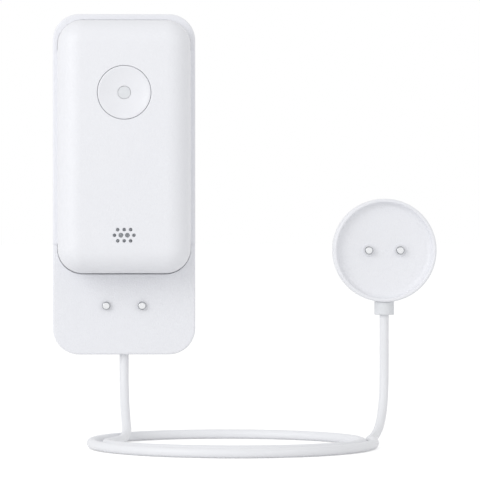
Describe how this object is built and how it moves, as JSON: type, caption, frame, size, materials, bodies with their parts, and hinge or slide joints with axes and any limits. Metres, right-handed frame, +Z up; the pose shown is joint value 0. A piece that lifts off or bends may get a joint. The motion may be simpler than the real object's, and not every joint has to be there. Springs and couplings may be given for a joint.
{
  "type": "water leak sensor",
  "caption": "Wall-mounted water leak sensor: a soap-bar battery module with a dished button and sounder grille in a cradle plate with drip contacts, and a round drip probe on a cord.",
  "frame": {"origin": "centre of the wall plate's flat back face, on the wall", "axes": "+Y into the wall, +Z up, +X to the right seen from the front"},
  "size_m": [0.1243, 0.0928, 0.1375],
  "materials": {
    "wall_plate": "moulded ABS, satin",
    "plate_back": "moulded ABS, matt",
    "plate_screws": "plain",
    "drip_pins": "stainless steel, turned",
    "pin_nuts": "plain",
    "contact_strips": "rolled",
    "spring_contacts": "gold plated",
    "cord_grommet": "matt",
    "lead_wires": "insulated wire",
    "cord": "soft PVC jacket",
    "probe_shell": "moulded ABS, satin",
    "probe_back": "moulded ABS, matt",
    "probe_seal": "silicone, matt",
    "probe_screws": "plain",
    "probe_pins": "stainless steel, turned",
    "probe_nuts": "plain",
    "probe_collar": "moulded ABS, satin",
    "front_cover": "moulded ABS, satin",
    "rear_case": "moulded ABS, matt",
    "case_seal": "silicone, matt",
    "case_screws": "plain",
    "contact_pads": "gold plated",
    "circuit_board": "glass-fibre laminate",
    "board_screws": "plain",
    "tactile_switch": "moulded",
    "status_led": "clear resin",
    "radio_module": "tinned can",
    "control_chip": "moulded epoxy",
    "battery": "wrapped cell",
    "battery_holder": "moulded",
    "battery_contacts": "nickel plated",
    "buzzer": "moulded",
    "speaker_mesh": "woven, water repellent",
    "button": "moulded ABS, satin",
    "button_seal": "silicone",
    "light_window": "diffusing acrylic"
  },
  "bodies": {
    "wall_unit": {"wall_plate": "wall_plate", "plate_back": "plate_back", "plate_screws": "plate_screws", "drip_pins": "drip_pins", "pin_nuts": "pin_nuts", "contact_strips": "contact_strips", "spring_contacts": "spring_contacts", "cord_grommet": "cord_grommet", "lead_wires": "lead_wires", "cord": "cord", "probe_shell": "probe_shell", "probe_back": "probe_back", "probe_seal": "probe_seal", "probe_screws": "probe_screws", "probe_pins": "probe_pins", "probe_nuts": "probe_nuts", "probe_collar": "probe_collar"},
    "sensor_module": {"front_cover": "front_cover", "rear_case": "rear_case", "case_seal": "case_seal", "case_screws": "case_screws", "contact_pads": "contact_pads", "circuit_board": "circuit_board", "board_screws": "board_screws", "tactile_switch": "tactile_switch", "status_led": "status_led", "radio_module": "radio_module", "control_chip": "control_chip", "battery": "battery", "battery_holder": "battery_holder", "battery_contacts": "battery_contacts", "buzzer": "buzzer", "speaker_mesh": "speaker_mesh"},
    "push_button": {"button": "button", "button_seal": "button_seal", "light_window": "light_window"}
  },
  "joints": [
    {"name": "module_lift", "type": "slide", "parent": "wall_unit", "child": "sensor_module", "axis": [0, -1, 0], "range_m": [0, 0.03]},
    {"name": "button_press", "type": "slide", "parent": "sensor_module", "child": "push_button", "axis": [0, 1, 0], "range_m": [0, 0.0005], "stiffness_N_per_m": 2500, "springref_m": -0.0003}
  ]
}
